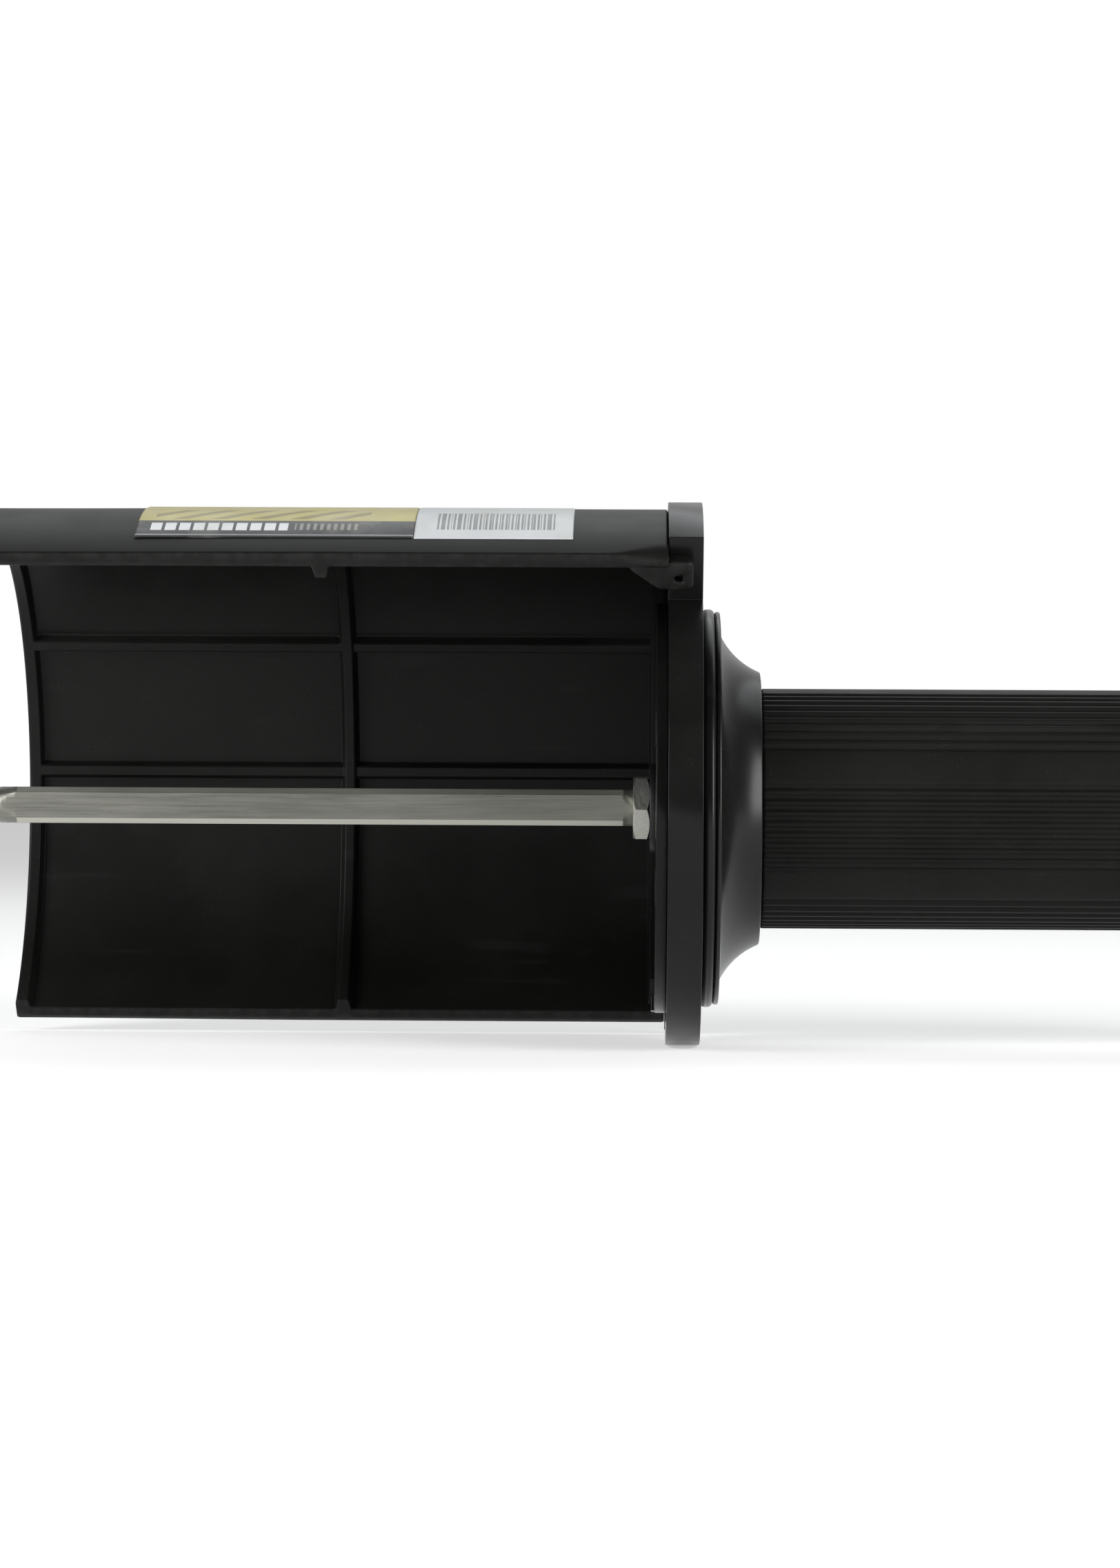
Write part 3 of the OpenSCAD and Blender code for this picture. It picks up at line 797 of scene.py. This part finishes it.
def band_print(r):
    """Yellow band with slanted stripes, over a black strip with plain dashes and a thin grey line."""
    u, v = r.uv()
    yellow = r.blend(r.span(r.noise(130, 3), 0.3, 0.7), (0.45, 0.39, 0.11), (0.40, 0.36, 0.12))
    slant = r.math("ADD", u, r.times(v, 1.1))
    stripes = r.times(r.dashes(slant, 6.4, 0.42), r.within(v, 28.5, 36.0), r.within(u, 2.6, 37.5))
    band = r.blend(r.times(stripes, 0.75), yellow, (0.16, 0.13, 0.03))
    strip = r.blend(r.times(r.dashes(u, 2.3, 0.78), r.within(v, 38.4, 42.2), r.within(u, 2.3, 24.5)),
                    (0.012, 0.012, 0.013), (0.62, 0.64, 0.66))
    strip = r.blend(r.times(r.dashes(u, 1.1, 0.5), r.within(v, 38.6, 41.9), r.within(u, 25.6, 36.0)),
                    strip, (0.2, 0.2, 0.18))
    strip = r.blend(r.within(v, 44.0, 44.5), strip, (0.22, 0.23, 0.24))
    return r.blend(r.math("GREATER_THAN", v, 37.0), band, strip)


def code_print(r):
    """White field with plain upright bars of uneven width."""
    u, v = r.uv()
    wave = r.math("ADD", r.math("SINE", r.times(u, 7.3)), r.math("SINE", r.times(u, 12.1)))
    bars = r.times(r.math("GREATER_THAN", wave, -0.1), r.within(v, 31.0, 41.5), r.within(u, 3.4, 22.6))
    return r.blend(r.times(bars, 0.8), (0.52, 0.54, 0.55), (0.08, 0.10, 0.095))


SLOT_MATERIALS = {
    "guard_plastic": moulded_plastic("guard_plastic", (0.0047, 0.0048, 0.0044), 0.42, specular=0.135),
    "plate_plastic": moulded_plastic("plate_plastic", (0.0052, 0.0053, 0.0050), 0.22, specular=0.16),
    "hub_plastic": moulded_plastic("hub_plastic", (0.0044, 0.0046, 0.0042), 0.25, specular=0.28),
    "grip_plastic": moulded_plastic("grip_plastic", (0.0045, 0.0045, 0.0041), 0.48, specular=0.11,
                                    grain=0.00003, grain_scale=3600),
    "nylon": moulded_plastic("black_nylon", (0.0040, 0.0040, 0.0038), 0.27, specular=0.26),
    "spindle_steel": drawn_metal("spindle_steel", (0.23, 0.23, 0.205), 0.36, metallic=0.85),
    "nut_steel": drawn_metal("nut_steel", (0.55, 0.55, 0.51), 0.34, along=(1, 1, 0.1), stain=0.5),
    "zinc_steel": zinc_plate(),
    "black_steel": drawn_metal("black_steel", (0.035, 0.035, 0.036), 0.36, metallic=0.8,
                               along=(1, 1, 1), stain=0.2),
    "tube_aluminium": drawn_metal("tube_aluminium", (0.6, 0.6, 0.61), 0.35, stain=0.1),
    "bronze": sintered_bronze(),
    "label_band": printed_film("label_band_film", band_print),
    "label_white": printed_film("label_white_film", code_print),
}

# Rounding of the edges of CAD nodes, in millimetres
ROUNDING = {"end_plate": 1.3, "friction_ring": 0.8, "retaining_ring": 0.7, "end_cap": 0.6}
SMALL_ROUNDING = 0.12


def finish_cad_nodes():
    """Gives every CAD node its material and rounded edges."""
    slots = {part["node"]: part["material_slot"] for part in frame["record"]["subparts"]}
    for name, piece in frame["nodes"].items():
        for surface_slot in piece.material_slots:
            surface_slot.material = SLOT_MATERIALS[slots[name]]
        weld = piece.modifiers.new("one_skin", "WELD")
        weld.merge_threshold = 0.002 * MM
        flat = piece.modifiers.new("whole_faces", "DECIMATE")
        flat.decimate_type = "DISSOLVE"
        flat.angle_limit = math.radians(0.4)
        bevel = piece.modifiers.new("soft_edges", "BEVEL")
        bevel.width = ROUNDING.get(name, SMALL_ROUNDING) * MM
        bevel.segments = 7 if name in ROUNDING else 3
        bevel.limit_method = "ANGLE"
        bevel.angle_limit = math.radians(32)
        bevel.harden_normals = True


def add_pieces():
    """The pieces whose meshes stand for plain CAD nodes."""
    add_piece("guard_shell_moulding", guard_shell(), "guard", "guard_plastic", "guard_shell")
    add_piece("grip_sleeve", grip_sleeve(), "handle", "grip_plastic", "grip")
    add_piece("hub_flare", hub_flare(), "handle", "hub_plastic", "hub")
    add_piece("spindle_bar", spindle_bar(), "spindle", "spindle_steel", "spindle")
    add_piece("band_label", label_sheet("band_label", LABEL_X), "guard", "label_band", "front_label")
    add_piece("white_label", label_sheet("white_label", CODE_X), "guard", "label_white", "code_label")


# ---------------------------------------------------------------- camera, floor and light

# Places and sizes from here on are in metres.
CAMERA_DISTANCE = 0.688
VIEW_WIDTH = 0.1862          # width of the picture at the spindle's depth
AIM = Vector((-0.01766, 0.0, 0.0039))    # the point in the middle of the picture
YAW = math.radians(1.1)
ROLL = math.radians(0.3)
SENSOR = 36.0                # millimetres, along the picture's longer side, its height
ASPECT = 2274 / 1624         # height over width

FLOOR_HALF = 12.0
FLOOR_GAP = 0.0002           # between the floor and the tool's lowest point
FLOOR_GLOW = 0.42
STUDIO_FRONT = 0.03
STUDIO_BACK = 0.68


def make_camera():
    """Level camera in front of the guard's open side, a little to the right and rolled a little."""
    data = bpy.data.cameras.new("camera")
    data.sensor_width = SENSOR
    data.lens = SENSOR * CAMERA_DISTANCE / (VIEW_WIDTH * ASPECT)
    data.dof.use_dof = False
    camera = bpy.data.objects.new("camera", data)
    forward = Vector((-math.sin(YAW), math.cos(YAW), 0))
    right = Vector((math.cos(YAW), math.sin(YAW), 0))
    up = Vector((0, 0, 1))
    side = right * math.cos(ROLL) + up * math.sin(ROLL)
    top = up * math.cos(ROLL) - right * math.sin(ROLL)
    turn = Matrix((side, top, -forward)).transposed()
    camera.matrix_world = Matrix.Translation(AIM - forward * CAMERA_DISTANCE) @ turn.to_4x4()
    bpy.context.scene.collection.objects.link(camera)
    bpy.context.scene.camera = camera


def make_floor():
    """Pale floor that the tool stands on."""
    z = cad_low.z - FLOOR_GAP
    corners = [(FLOOR_HALF * x, FLOOR_HALF * y, z) for x, y in ((-1, -1), (1, -1), (1, 1), (-1, 1))]
    mesh = bpy.data.meshes.new("floor")
    mesh.from_pydata(corners, [], [(0, 1, 2, 3)])
    floor = bpy.data.objects.new("floor", mesh)
    bpy.context.scene.collection.objects.link(floor)
    r = Recipe("floor", (0.86, 0.86, 0.86), 0.9, specular=0.1)
    r.set(r.shader, "Base Color", r.blend(r.noise(3), (0.84, 0.84, 0.84), (0.87, 0.87, 0.87)))
    r.set(r.shader, "Emission Color", (1, 1, 1, 1))
    r.set(r.shader, "Emission Strength", FLOOR_GLOW)
    mesh.materials.append(r.material)


def area_light(name, place, target, size, energy, color=(1, 1, 1)):
    """A soft box at a place, turned towards a target, with its size in metres and energy in watts."""
    data = bpy.data.lights.new(name, "AREA")
    data.shape = "RECTANGLE"
    data.size, data.size_y = size
    data.energy = energy
    data.color = color
    light = bpy.data.objects.new(name, data)
    light.location = place
    aim = Vector(target) - Vector(place)
    light.rotation_mode = "QUATERNION"
    light.rotation_quaternion = aim.to_track_quat("-Z", "Y")
    bpy.context.scene.collection.objects.link(light)


def make_lights():
    """Soft studio light: a broad box above and behind, and a tall box on each side of the camera."""
    area_light("overhead", (0.20, 0.50, 0.75), (0.02, 0, 0), (1.2, 0.6), 2.5, (0.95, 0.98, 1.0))
    for name, side in (("left_strip", -1), ("right_strip", 1)):
        area_light(name, (side * 0.76, -0.66, 0.30), (0, 0, 0.005), (0.55, 0.70), 10)


def make_world():
    """White to the camera; to everything else a studio that is bright behind the tool, dim in front."""
    world = bpy.data.worlds.new("studio")
    bpy.context.scene.world = world
    world.use_nodes = True
    nodes, links = world.node_tree.nodes, world.node_tree.links
    nodes.clear()
    out = nodes.new("ShaderNodeOutputWorld")
    mix = nodes.new("ShaderNodeMixShader")
    seen = nodes.new("ShaderNodeBackground")
    lit = nodes.new("ShaderNodeBackground")
    path = nodes.new("ShaderNodeLightPath")
    place = nodes.new("ShaderNodeTexCoord")
    split = nodes.new("ShaderNodeSeparateXYZ")
    back = nodes.new("ShaderNodeMapRange")
    links.new(place.outputs["Generated"], split.inputs["Vector"])
    links.new(split.outputs["Y"], back.inputs["Value"])
    ramp = {"From Min": 0.1, "From Max": 0.9, "To Min": STUDIO_FRONT, "To Max": STUDIO_BACK}
    for socket, number in ramp.items():
        back.inputs[socket].default_value = number
    seen.inputs["Color"].default_value = (1, 1, 1, 1)
    lit.inputs["Color"].default_value = (1, 1, 1, 1)
    links.new(back.outputs["Result"], lit.inputs["Strength"])
    links.new(path.outputs["Is Camera Ray"], mix.inputs[0])
    links.new(lit.outputs["Background"], mix.inputs[1])
    links.new(seen.outputs["Background"], mix.inputs[2])
    links.new(mix.outputs["Shader"], out.inputs["Surface"])
    bpy.context.scene.view_settings.view_transform = "Standard"


make_camera()
make_floor()
make_lights()
make_world()
add_pieces()
finish_cad_nodes()
